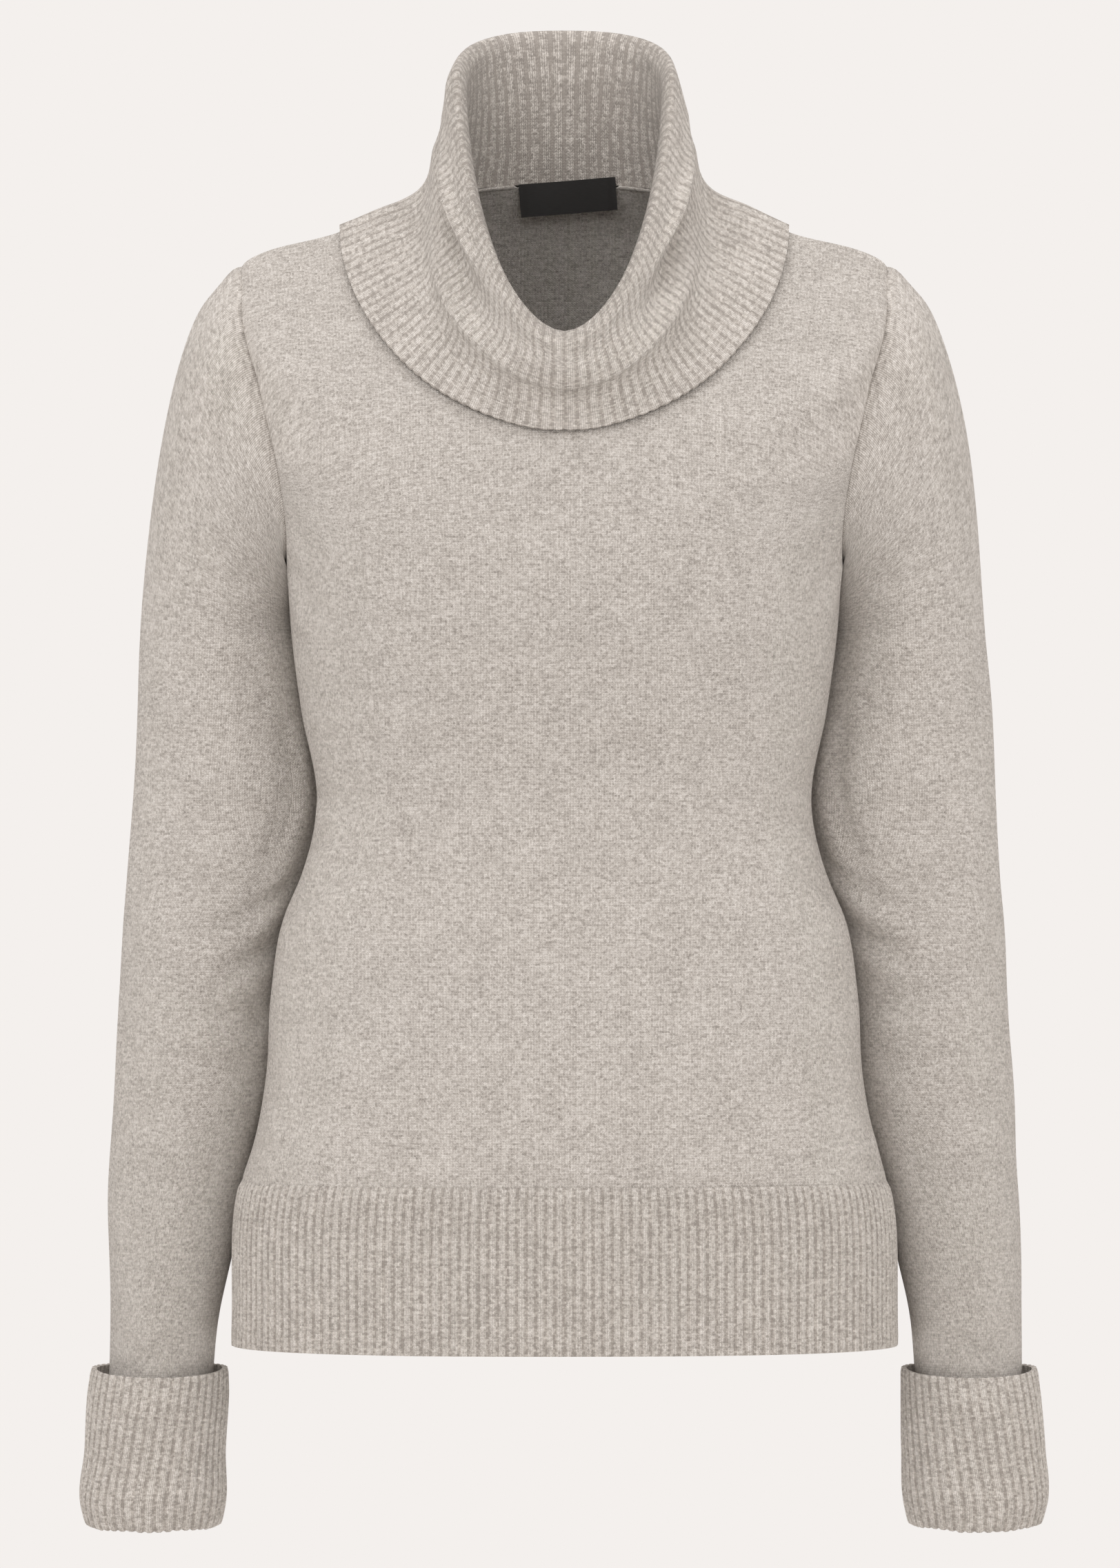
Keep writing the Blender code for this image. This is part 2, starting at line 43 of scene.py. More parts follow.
MM = 0.001
CLOTH = 2.0
RIB_CLOTH = 2.4
RIB_RELIEF = 0.9
SEAM_GAP = 0.04
RIB_TOP_LEVEL, UNDERARM_LEVEL, SHOULDER_LEVEL, NECK_LEVEL = 95.0, 452.0, 624.0, 740.0
ARMHOLE_HALF_ANGLE = 18.0
ARMHOLE_ROUNDNESS = 2.4
HEM_RIBS, CUFF_RIBS, COWL_FRONT_RIBS, COWL_BACK_RIBS = 92, 42, 66, 30
SLEEVE_LEAVES = np.array(((0.42, 0.10, -0.90), (0.93, 0.0, -0.37), (0.93, 0.0, -0.37), (0.99, 0.0, -0.14)))
SLEEVE_LEAVES_AT = (0.0, 0.45, 0.8, 1.0)
SLEEVE_LEAVE_PULL, SLEEVE_HANG_PULL = 0.60, 0.85
WALE = 1.75             # width of one stitch
COURSE = 1.40           # height of one stitch

# level, half_width, side_y, side_z, front_y, front_z, back_y, back_z, square
TORSO = np.array((
    (0, 192.0, -6, -657, -112, -655, 107, -657, 2.50),
    (95, 186.5, -7, -562, -112, -560, 106, -562, 2.50),
    (115, 180.0, -8, -542, -111.5, -541, 105, -542, 2.50),
    (155, 172.5, -8, -502, -110, -500, 103, -502, 2.45),
    (203, 169.5, -9, -454, -107, -453, 99, -454, 2.40),
    (247, 162.0, -10, -410, -103, -410, 94, -410, 2.40),
    (271, 152.0, -10, -386, -101, -386, 91, -386, 2.35),
    (311, 143.0, -10, -346, -99, -347, 86, -346, 2.30),
    (367, 152.0, -9, -290, -110, -293, 88, -290, 2.30),
    (412, 158.0, -7, -245, -121, -251, 93, -245, 2.35),
    (452, 161.0, -4, -205, -127, -217, 99, -203, 2.40),
    (517, 171.0, 2, -140, -126, -181, 105, -137, 2.40),
    (577, 182.0, 6, -80, -122, -157, 104, -83, 2.30),
    (624, 187.0, 8, -33, -118, -140, 97, -45, 2.20),
    (681, 132.0, 6, -12.5, -112, -125, 83, -9, 2.10),
    (740, 76.0, 0, 5, -105, -110, 62, 20, 2.00),
), float)
# z, inner_x, outer_x, centre_y, half_depth
SLEEVE = np.array((
    (-246, 154.5, 247.0, 28, 52.0),
    (-300, 147.5, 250.0, 28, 49.0),
    (-346, 141.8, 252.0, 28, 46.5),
    (-386, 150.3, 255.0, 27, 44.0),
    (-410, 159.6, 257.0, 26, 43.0),
    (-454, 167.5, 259.0, 25, 41.5),
    (-502, 169.8, 261.5, 24, 39.5),
    (-542, 179.2, 263.5, 21, 37.0),
    (-570, 186.3, 264.5, 17, 35.0),
    (-610, 194.5, 264.5, 11, 32.0),
    (-645, 201.5, 264.5, 5, 29.0),
    (-682, 204.5, 264.5, 0, 28.0),
), float)
# z, front_drop, inner_x, outer_x, centre_y, half_depth
CUFF = np.array((
    (-682.3, 0, 205.5, 263.5, 0, 27.0),
    (-718, 0, 204.8, 268.0, -1, 28.3),
    (-751, 0, 204.2, 272.0, -2, 29.8),
    (-760.2, 1, 201.6, 275.2, -2, 32.9),
    (-751, 1, 199.0, 278.2, -2, 35.8),
    (-718, 1.5, 198.0, 276.0, -1, 35.5),
    (-671.5, 3, 197.3, 272.2, 0, 34.8),
), float)
# half_width, side_y, side_z, front_y, front_z, back_y, back_z, front_square, back_square
COWL = (
    (75.3, 0, 5.8, -104.4, -109.2, 61.4, 20.9, 2.0, 2.0),
    (66.0, -3, 29, -107, -104, 61, 43, 2.0, 2.2),
    (60.0, -8, 50, -110, -97, 63, 67, 1.9, 2.4),
    (57.5, -12, 64, -114, -89.5, 67, 92.5, 1.8, 2.6),
    (58.3, -14, 74, -119, -83.5, 72, 107.5, 1.8, 2.6),
    (62.0, -14, 79, -124.5, -80.5, 78.5, 112.5, 1.8, 2.6),
    (65.5, -13, 74, -130.5, -84, 84, 106, 1.8, 2.6),
    (69.5, -9, 54, -136, -93.5, 85, 79, 1.8, 2.5),
    (74.5, -5, 37, -137, -104, 86, 52, 1.9, 2.4),
)
# front_share, side_share, front_height, side_height, back_height
COWL_LAID = (
    (0.38, 0.22, 15.0, 6.5, 14.0),
    (0.72, 0.62, 7.0, 5.0, 6.0),
    (1.00, 1.00, 3.2, 3.0, 3.2),
)
COWL_REACH = (27.5, 43.0, 56.0, 18.0)
COWL_FOLD_KNOT = 5
# height, middle and spread down from the fold (0) to the free edge (1), middle and spread in degrees from the front
COWL_DRAPE = (
    (-10.0, 0.31, 0.085, 58, 21),
    (8.0, 0.53, 0.11, 50, 20),
    (-5.5, 0.73, 0.07, 40, 20),
    (3.5, 0.40, 0.16, 0, 32),
    (-3.8, 0.74, 0.08, 0, 36),
)


def through(knots, values, at):
    knots, values, at = (np.asarray(a, float) for a in (knots, values, at))
    slopes = np.gradient(values, knots, axis=0)
    low = np.clip(np.searchsorted(knots, at, side="right") - 1, 0, len(knots) - 2)
    span = knots[low + 1] - knots[low]
    t = (at - knots[low]) / span
    spread = (slice(None),) + (None,) * (values.ndim - 1)
    t, span = t[spread], span[spread]
    return ((2 * t**3 - 3 * t**2 + 1) * values[low] + (t**3 - 2 * t**2 + t) * span * slopes[low]
            + (3 * t**2 - 2 * t**3) * values[low + 1] + (t**3 - t**2) * span * slopes[low + 1])


def unit(vectors):
    return vectors / np.maximum(np.linalg.norm(vectors, axis=-1, keepdims=True), 1e-12)


def body_ring(theta, half_width, side, front, back, front_square, back_square):
    ahead = np.cos(theta) >= 0
    square = np.where(ahead, front_square, back_square)
    across = np.sign(np.sin(theta)) * np.abs(np.sin(theta)) ** (2 / square)
    along = np.abs(np.cos(theta)) ** (2 / square)
    end_y, end_z = (np.where(ahead, front[i], back[i]) for i in (0, 1))
    return np.stack([half_width * across, side[0] + (end_y - side[0]) * along,
                     side[1] + (end_z - side[1]) * along], axis=-1)


def torso(theta, level):
    theta, level = np.broadcast_arrays(np.asarray(theta, float), np.asarray(level, float))
    rows = through(TORSO[:, 0], TORSO[:, 1:], level.ravel())
    half_width, side_y, side_z, front_y, front_z, back_y, back_z, square = rows.T.reshape(8, *level.shape)
    return body_ring(theta, half_width, (side_y, side_z), (front_y, front_z), (back_y, back_z), square, square)


def torso_normal(theta, level, step=1e-3):
    theta, level = np.broadcast_arrays(np.asarray(theta, float), np.asarray(level, float))
    high, low = np.minimum(level + 0.5, NECK_LEVEL), np.maximum(level - 0.5, 0)
    up = torso(theta, high) - torso(theta, low)
    round_it = torso(theta + step, level) - torso(theta - step, level)
    return unit(np.cross(round_it, up))


def armhole_angle(level):
    share = (np.asarray(level, float) - UNDERARM_LEVEL) / (SHOULDER_LEVEL - UNDERARM_LEVEL)
    inside = np.clip(1 - np.abs(2 * share - 1) ** ARMHOLE_ROUNDNESS, 0, 1)
    return np.radians(ARMHOLE_HALF_ANGLE) * inside ** (1 / ARMHOLE_ROUNDNESS)


def armhole_levels(rows):
    turns = np.linspace(0, np.pi, rows + 1)
    return UNDERARM_LEVEL + (SHOULDER_LEVEL - UNDERARM_LEVEL) * (1 - np.cos(turns)) / 2


def armhole_ring(rows):
    up = armhole_levels(rows)
    front, back = np.pi / 2 - armhole_angle(up), np.pi / 2 + armhole_angle(up)
    return np.concatenate([front, back[-2:0:-1]]), np.concatenate([up, up[-2:0:-1]])


def sleeve_rings(turns, z):
    inner, outer, centre_y, half_depth = through(-SLEEVE[:, 0], SLEEVE[:, 1:], -np.asarray(z, float)).T
    middle, half = ((inner + outer) / 2)[:, None], ((outer - inner) / 2)[:, None]
    x = middle - half * np.cos(turns)[None, :]
    y = centre_y[:, None] - half_depth[:, None] * np.sin(turns)[None, :]
    return np.stack([x, y, np.broadcast_to(np.asarray(z, float)[:, None], x.shape)], axis=-1)


def sleeve_surface(arm_rows, cap_rows, rows):
    theta, level = armhole_ring(arm_rows)
    start = torso(theta, level)
    turns = np.linspace(0, 2 * np.pi, len(theta), endpoint=False)
    hanging = sleeve_rings(turns, np.linspace(SLEEVE[0, 0], SLEEVE[-1, 0], rows + 1))
    end = hanging[0]
    way = np.linalg.norm(end - start, axis=-1, keepdims=True)
    height = (level - UNDERARM_LEVEL) / (SHOULDER_LEVEL - UNDERARM_LEVEL)
    leaves = np.stack([np.interp(height, SLEEVE_LEAVES_AT, axis) for axis in SLEEVE_LEAVES.T], axis=-1)
    leave = way * SLEEVE_LEAVE_PULL * unit(leaves)
    step = sleeve_rings(turns, np.array([SLEEVE[0, 0], SLEEVE[0, 0] - 47.0]))
    hang = way * SLEEVE_HANG_PULL * unit(step[1] - step[0])
    cap = [(2 * t**3 - 3 * t**2 + 1) * start + (t**3 - 2 * t**2 + t) * leave
           + (3 * t**2 - 2 * t**3) * end + (t**3 - t**2) * hang
           for t in np.linspace(0, 1, cap_rows + 1)[:-1]]
    return np.concatenate([np.stack(cap), hanging])


def grid_normals(grid, closed):
    along_rows = np.gradient(grid, axis=0)
    if closed:
        along_columns = np.roll(grid, -1, axis=1) - np.roll(grid, 1, axis=1)
    else:
        along_columns = np.gradient(grid, axis=1)
    return unit(np.cross(along_columns, along_rows))


def lengths(grid, axis):
    """Distance along each row (axis 1) or column (axis 0) of a grid, from its first point."""
    steps = np.linalg.norm(np.diff(grid, axis=axis), axis=-1)
    first = np.zeros_like(np.take(steps, [0], axis=axis))
    return np.concatenate([first, np.cumsum(steps, axis=axis)], axis=axis)


def wander(a, b, seed, count=7, low=1.0, high=3.0):
    """Smooth uneven values near -1 to 1 over two coordinates, the same on each run."""
    rng = np.random.default_rng(seed)
    total = np.zeros(np.broadcast(a, b).shape)
    for _ in range(count):
        angle, pitch, phase = rng.uniform(0, 2 * np.pi), rng.uniform(low, high), rng.uniform(0, 2 * np.pi)
        total = total + np.sin(pitch * (a * np.cos(angle) + b * np.sin(angle)) + phase)
    return total / math.sqrt(count)


def hump(x, middle, width):
    return np.exp(-((x - middle) / width) ** 2)


def crease(x, y, start, end, width, depth, bend=0.0):
    """A soft furrow, with a lower ridge beside it, along a bent line from start to end."""
    (x0, y0), (x1, y1) = start, end
    length = math.hypot(x1 - x0, y1 - y0)
    ux, uy = (x1 - x0) / length, (y1 - y0) / length
    along = ((x - x0) * ux + (y - y0) * uy) / length
    aside = (y - y0) * ux - (x - x0) * uy - bend * np.sin(np.pi * np.clip(along, 0, 1))
    fade = np.clip(1 - (2 * along - 1) ** 2, 0, 1) ** 0.8 * (np.abs(along - 0.5) < 0.5)
    return depth * fade * (-hump(aside, 0, width) + 0.7 * hump(aside, 1.9 * width, 1.3 * width))


def body_relief(theta, level):
    """Height of the body's soft folds at an angle and level, in millimetres."""
    turn = (theta + np.pi) % (2 * np.pi) - np.pi
    side = np.sign(turn)
    a = np.degrees(np.abs(turn))
    height = 0.55 * wander(turn * 3.2 + side, level / 60, 3) + 0.3 * wander(turn * 7, level / 26, 5)
    for mirror, lift, grow in ((1, 0.0, 1.0), (-1, 9.0, 0.85)):
        on = side == mirror
        y = level + lift
        folds = crease(a, y, (88, 250), (52, 286), 4.5, 2.2 * grow, 2)
        folds += crease(a, y, (86, 292), (55, 305), 5.0, 2.0 * grow, -2)
        folds += crease(a, y, (86, 330), (58, 322), 5.0, 1.6 * grow, 2)
        folds += crease(a, y, (74, 470), (56, 425), 5.5, 2.4 * grow, 3)
        folds += crease(a, y, (72, 520), (60, 455), 5.0, 1.5 * grow, -2)
        folds += crease(a, y, (92, 256), (135, 280), 5.0, 2.4 * grow, 2)
        folds += crease(a, y, (94, 300), (128, 312), 5.0, 2.2 * grow, 3)
        folds += crease(a, y, (96, 350), (130, 335), 6.0, 2.0 * grow, -3)
        folds += crease(a, y, (108, 500), (128, 440), 6.0, 2.6 * grow, 3)
        folds += crease(a, y, (84, 128), (48, 120), 4.5, 1.6 * grow, 1.5)
        folds += crease(a, y, (96, 134), (140, 122), 5.0, 2.0 * grow, 2)
        height = height + np.where(on, folds, 0)
    height += 1.6 * hump(level, 118, 16) * (0.6 + 0.4 * wander(turn * 4, level * 0, 8))
    back = np.abs(turn) > np.pi / 2
    height += np.where(back, 1.8 * hump(level, 262, 16) - 1.6 * hump(level, 290, 14), 0) * hump(a, 180, 55)
    ends = np.clip((level - RIB_TOP_LEVEL) / 12, 0, 1) * np.clip((NECK_LEVEL - level) / 12, 0, 1)
    return height * ends


def faces_of(index, closed):
    if closed:
        index = np.column_stack([index, index[:, 0]])
    low, high = index[:-1], index[1:]
    return np.stack([low[:, :-1], low[:, 1:], high[:, 1:], high[:, :-1]], axis=-1).reshape(-1, 4)


def bridge(first, second):
    share = (len(first) - 1) // (len(second) - 1)
    faces = []
    middle = share // 2
    for i in range(len(second) - 1):
        fine = first[i * share:(i + 1) * share + 1]
        here, there = second[i], second[i + 1]
        faces += [(fine[k], fine[k + 1], here) for k in range(middle)]
        faces += [(fine[middle], there, here)]
        faces += [(fine[k], fine[k + 1], there) for k in range(middle, share)]
    return faces


def shell(name, outer, inner, closed, knit, across, material):
    """A closed wall between a fine grid and a coarser one, every across-th column of it.
    knit holds each fine point's stitch coordinates, in millimetres, for the UV map."""
    inner = inner[:, ::across]
    rows, columns = outer.shape[:2]
    points = np.concatenate([outer.reshape(-1, 3), inner.reshape(-1, 3)]) * MM
    outside = np.arange(rows * columns).reshape(rows, columns)
    inside = rows * columns + np.arange(rows * inner.shape[1]).reshape(rows, inner.shape[1])
    coarse_knit = knit[:, ::across]
    uv = np.concatenate([knit.reshape(-1, 2), coarse_knit[:, :inner.shape[1]].reshape(-1, 2)])
    faces = [faces_of(outside, closed), faces_of(inside, closed)[:, ::-1]]
    strips = []
    ring_out, ring_in = outside, inside
    if closed:
        ring_out, ring_in = (np.column_stack([g, g[:, 0]]) for g in (outside, inside))
    for row in (0, -1):
        strips += bridge(ring_out[row], ring_in[row])
    if not closed:
        for end in (0, -1):
            strips += [(a, b, d, c) for a, b, c, d in zip(outside[:-1, end], outside[1:, end],
                                                          inside[:-1, end], inside[1:, end])]
    every = [tuple(f) for part in faces for f in part.tolist()] + [tuple(int(v) for v in f) for f in strips]
    mesh = bpy.data.meshes.new(name)
    mesh.from_pydata(points.tolist(), [], every)
    if closed:
        seam = np.zeros(len(points), bool)
    layer = mesh.uv_layers.new(name="knit")
    loops = np.empty(len(mesh.loops), np.int32)
    mesh.loops.foreach_get("vertex_index", loops)
    values = uv[loops] * MM
    if closed:
        totals = np.empty(len(mesh.polygons), np.int32)
        mesh.polygons.foreach_get("loop_total", totals)
        starts = np.concatenate([[0], np.cumsum(totals)[:-1]])
        span = np.max(knit[..., 0]) * MM
        highest = np.maximum.reduceat(values[:, 0], starts)
        lowest = np.minimum.reduceat(values[:, 0], starts)
        wraps = np.repeat(highest - lowest > span / 2, totals)
        period = span * columns / (columns - 1)
        values[:, 0] = np.where(wraps & (values[:, 0] < span / 2), values[:, 0] + period, values[:, 0])
    layer.data.foreach_set("uv", values.ravel())
    mesh.materials.append(material)
    mesh.update()
    mesh.validate()
    import bmesh
    made = bmesh.new()
    made.from_mesh(mesh)
    bmesh.ops.recalc_face_normals(made, faces=made.faces)
    made.to_mesh(mesh)
    made.free()
    mesh.shade_smooth()
    mesh.set_sharp_from_angle(angle=math.radians(60))
    piece = bpy.data.objects.new(name, mesh)
    bpy.context.scene.collection.objects.link(piece)
    return piece


def declare(piece, nodes):
    """Rides the piece and says what it replaces, by hiding those parts."""
    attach(piece, "root")
    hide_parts(*nodes)


# ---------------------------------------------------------------- materials
def node(tree, kind, **values):
    made = tree.nodes.new(kind)
    for name, value in values.items():
        setattr(made, name, value)
    return made


class Maths:
    """Short ways to add math nodes to one tree."""

    def __init__(self, tree):
        self.tree = tree

    def do(self, operation, a, b=None, c=None, clamp=False):
        made = node(self.tree, "ShaderNodeMath", operation=operation, use_clamp=clamp)
        for socket, value in zip(made.inputs, (a, b, c)):
            if value is None:
                continue
            if isinstance(value, (int, float)):
                socket.default_value = value
            else:
                self.tree.links.new(value, socket)
        return made.outputs[0]

    def noise(self, vector, scale, detail=2.0, rough=0.5):
        made = node(self.tree, "ShaderNodeTexNoise", noise_dimensions="3D")
        made.inputs["Scale"].default_value = scale
        made.inputs["Detail"].default_value = detail
        made.inputs["Roughness"].default_value = rough
        self.tree.links.new(vector, made.inputs["Vector"])
        return made.outputs[0]

    def random(self, vector):
        made = node(self.tree, "ShaderNodeTexWhiteNoise", noise_dimensions="3D")
        self.tree.links.new(vector, made.inputs["Vector"])
        return made.outputs["Value"]

    def vector(self, x, y, z=0.0):
        made = node(self.tree, "ShaderNodeCombineXYZ")
        for socket, value in zip(made.inputs, (x, y, z)):
            if isinstance(value, (int, float)):
                socket.default_value = value
            else:
                self.tree.links.new(value, socket)
        return made.outputs[0]


def knit_material(name, rib_pitch=None, tone=1.0, seed=0.0, painted_shade_until=None):
    """Marled wool knit. The UV map holds millimetres across and along, as metres. A rib's pitch, in
    millimetres, gives two stitch columns and a furrow for each rib. The colour also holds painted highlight and shade:
    the stitch legs lighter and the gaps between them darker, the rib furrows darker, and, with painted_shade_until,
    the cloth darker up to that length along, in millimetres."""
    mat = bpy.data.materials.new(name)
    mat.use_nodes = True
    tree = mat.node_tree
    shader = tree.nodes["Principled BSDF"]
    m = Maths(tree)
    uv = node(tree, "ShaderNodeUVMap", uv_map="knit")
    split = node(tree, "ShaderNodeSeparateXYZ")
    tree.links.new(uv.outputs[0], split.inputs[0])
    u, v = split.outputs[0], split.outputs[1]
    courses = m.do("DIVIDE", v, COURSE * MM)
    column = m.do("DIVIDE", u, (rib_pitch / 3 if rib_pitch else WALE) * MM)
    if rib_pitch:
        phase = m.do("FRACT", m.do("DIVIDE", u, rib_pitch * MM))
        wales = m.do("MULTIPLY", m.do("SUBTRACT", phase, 0.14), 2 / 0.72)
        ridge = m.do("MULTIPLY", m.do("SUBTRACT", 0.5, m.do("ABSOLUTE", m.do("SUBTRACT", phase, 0.5))), 3.4,
                     clamp=True)
    else:
        wales = m.do("DIVIDE", u, WALE * MM)
        ridge = None
    x = m.do("FRACT", wales)
    a = m.do("MULTIPLY", m.do("ABSOLUTE", m.do("SUBTRACT", x, 0.5)), 2.0)
    leg = m.do("SUBTRACT", 1.0, m.do("POWER", m.do("ABSOLUTE", m.do("SUBTRACT", m.do("MULTIPLY", a, 2.0), 1.0)), 2.0))
    slope = m.do("ADD", courses, m.do("MULTIPLY", a, 0.85))
    wave = m.do("ADD", 0.5, m.do("MULTIPLY", m.do("COSINE", m.do("MULTIPLY", slope, 2 * math.pi)), 0.5))
    stitch = m.do("MULTIPLY", leg, m.do("ADD", 0.5, m.do("MULTIPLY", wave, 0.5)))
    # the stitches fade into the rib furrows, in the bump and in the painted stitch shade below
    if ridge is not None:
        stitch = m.do("MULTIPLY", stitch, m.do("ADD", 0.25, m.do("MULTIPLY", ridge, 0.75)))
    # Marl: long soft flecks along the courses, small stitch-sized ones, and broad patches
    flecks = m.noise(m.vector(m.do("MULTIPLY", u, 250.0), m.do("MULTIPLY", v, 440.0), seed), 1.0, 3.0, 0.6)
    specks = m.noise(m.vector(m.do("MULTIPLY", u, 560.0), m.do("MULTIPLY", v, 760.0), seed + 4), 1.0, 2.0, 0.7)
    patches = m.noise(m.vector(m.do("MULTIPLY", u, 38.0), m.do("MULTIPLY", v, 46.0), seed + 9), 1.0, 3.0, 0.55)
    yarn = m.random(m.vector(m.do("FLOOR", m.do("MULTIPLY", column, 0.5)), m.do("FLOOR", courses), seed))
    loop = m.random(m.vector(m.do("FLOOR", m.do("MULTIPLY", column, 2.0)), m.do("FLOOR", courses), seed + 1))
    tonal = m.do("ADD", m.do("MULTIPLY", m.do("SUBTRACT", flecks, 0.5), 0.62),
                 m.do("MULTIPLY", m.do("SUBTRACT", specks, 0.5), 0.80))
    tonal = m.do("ADD", tonal, m.do("MULTIPLY", m.do("SUBTRACT", patches, 0.5), 0.22))
    tonal = m.do("ADD", tonal, m.do("MULTIPLY", m.do("SUBTRACT", yarn, 0.5), 0.16))
    tonal = m.do("ADD", tonal, m.do("MULTIPLY", m.do("SUBTRACT", loop, 0.5), 0.22))
    # painted highlight and shade: the stitch legs lighter and the gaps between them darker
    tonal = m.do("ADD", tonal, m.do("MULTIPLY", m.do("SUBTRACT", stitch, 0.4), 0.26))
    # painted shade: the rib furrows darker
    if ridge is not None:
        tonal = m.do("SUBTRACT", tonal, m.do("MULTIPLY", m.do("SUBTRACT", 1.0, ridge), 0.24))
    # painted shade: the cloth from the start up to this length along, the inside of the collar, is darkened to stand
    # in for the shade it lies in
    if painted_shade_until:
        inside = m.do("SUBTRACT", 1.0, m.do("DIVIDE", v, painted_shade_until * MM), clamp=True)
        tonal = m.do("SUBTRACT", tonal, m.do("MULTIPLY", m.do("MULTIPLY", inside, 4.0, clamp=True), 0.16))
    ramp = node(tree, "ShaderNodeValToRGB")
    ramp.color_ramp.elements[0].position = 0.18
    ramp.color_ramp.elements[0].color = (0.33 * tone, 0.298 * tone, 0.270 * tone, 1)
    ramp.color_ramp.elements[1].position = 0.82
    ramp.color_ramp.elements[1].color = (0.83 * tone, 0.785 * tone, 0.738 * tone, 1)
    middle = ramp.color_ramp.elements.new(0.5)
    middle.color = (0.592 * tone, 0.548 * tone, 0.503 * tone, 1)
    tree.links.new(m.do("ADD", tonal, 0.5), ramp.inputs[0])
    tree.links.new(ramp.outputs[0], shader.inputs["Base Color"])
    fuzz = m.noise(m.vector(m.do("MULTIPLY", u, 2300.0), m.do("MULTIPLY", v, 1500.0), seed + 2), 1.0, 3.0, 0.7)
    height = m.do("ADD", stitch, m.do("MULTIPLY", fuzz, 0.35))
    bump = node(tree, "ShaderNodeBump")
    bump.inputs["Strength"].default_value = 0.75
    bump.inputs["Distance"].default_value = 0.0009
    tree.links.new(height, bump.inputs["Height"])
    tree.links.new(bump.outputs[0], shader.inputs["Normal"])
    shader.inputs["Roughness"].default_value = 0.92
    shader.inputs["Specular IOR Level"].default_value = 0.18
    shader.inputs["Sheen Weight"].default_value = 0.22
    shader.inputs["Sheen Roughness"].default_value = 0.45
    shader.inputs["Sheen Tint"].default_value = (1.0, 0.97, 0.94, 1.0)
    return mat


def satin_material(name):
    mat = bpy.data.materials.new(name)
    mat.use_nodes = True
    tree = mat.node_tree
    shader = tree.nodes["Principled BSDF"]
    m = Maths(tree)
    uv = node(tree, "ShaderNodeUVMap", uv_map="knit")
    split = node(tree, "ShaderNodeSeparateXYZ")
    tree.links.new(uv.outputs[0], split.inputs[0])
    u, v = split.outputs[0], split.outputs[1]
    threads = m.do("ADD", m.do("MULTIPLY", m.do("SINE", m.do("MULTIPLY", u, 2 * math.pi / 0.00028)), 0.5),
                   m.do("MULTIPLY", m.do("SINE", m.do("MULTIPLY", v, 2 * math.pi / 0.00045)), 0.5))
    tone = m.noise(m.vector(m.do("MULTIPLY", u, 220.0), m.do("MULTIPLY", v, 2600.0)), 1.0, 2.0)
    ramp = node(tree, "ShaderNodeValToRGB")
    ramp.color_ramp.elements[0].color = (0.0065, 0.006, 0.006, 1)
    ramp.color_ramp.elements[1].color = (0.021, 0.019, 0.018, 1)
    tree.links.new(tone, ramp.inputs[0])
    tree.links.new(ramp.outputs[0], shader.inputs["Base Color"])
    bump = node(tree, "ShaderNodeBump")
    bump.inputs["Strength"].default_value = 0.35
    bump.inputs["Distance"].default_value = 0.0001
    tree.links.new(threads, bump.inputs["Height"])
    tree.links.new(bump.outputs[0], shader.inputs["Normal"])
    shader.inputs["Roughness"].default_value = 0.42
    shader.inputs["Sheen Weight"].default_value = 0.05
    return mat


# ---------------------------------------------------------------- pieces
ARM_ROWS, CAP_ROWS, SLEEVE_ROWS = 60, 44, 150
PANEL_COLUMNS, BODY_ROWS, YOKE_ROWS = 168, 120, 38
RIB_POINTS = 8
RIB_PROFILE = np.array([0.0, 0.30, 0.82, 1.0, 0.90, 1.0, 0.82, 0.30])


def mirrored(grid):
    return grid * np.array([-1, 1, 1])


def seam_normals():
    theta, level = armhole_ring(ARM_ROWS)
    body = torso_normal(theta, level)
    sleeve = -grid_normals(sleeve_surface(ARM_ROWS, CAP_ROWS, SLEEVE_ROWS), closed=True)[0]
    middle = unit(body + sleeve)
    return middle / np.clip(np.sum(middle * body, axis=-1, keepdims=True), 0.6, 1)


def near_edges(outer, width=2.4, depth=0.40, edges=("low", "high", "start", "end")):
    """How far the outside dips towards the seams at a panel's edges."""
    along, across = lengths(outer, 0), lengths(outer, 1)
    dip = np.zeros(outer.shape[:2])
    if "low" in edges:
        dip = np.maximum(dip, np.exp(-(along / width) ** 2))
    if "high" in edges:
        dip = np.maximum(dip, np.exp(-((along[-1:] - along) / width) ** 2))
    if "start" in edges:
        dip = np.maximum(dip, np.exp(-(across / width) ** 2))
    if "end" in edges:
        dip = np.maximum(dip, np.exp(-((across[:, -1:] - across) / width) ** 2))
    return depth * dip


def pull_back(grid, other, edges):
    inward = {"low": ((0,), (1,)), "high": ((-1,), (-2,)),
              "start": ((slice(None), 0), (slice(None), 1)), "end": ((slice(None), -1), (slice(None), -2))}
    for edge in edges:
        at, beside = inward[edge]
        for side in (grid, other):
            side[at] += unit(side[beside] - side[at]) * SEAM_GAP / 2


def eased(points):
    """The points moved where the sleeve head meets the shoulder, by their place alone,
    so that pieces that share a seam move alike."""
    x, y, z = np.abs(points[..., 0]), points[..., 1], points[..., 2]
    tip = 1.6 * np.exp(-((x - 188) ** 2 + (z + 34) ** 2) / 9 ** 2) * np.exp(-((y - 8) / 30) ** 2)
    head = -1.8 * np.exp(-((x - 203) ** 2 + (z + 42) ** 2) / 12 ** 2)
    hand = np.sign(points[..., 0])
    rise = tip + head
    return points + np.stack([hand * 0.5 * rise, 0 * rise, 0.87 * rise], axis=-1)


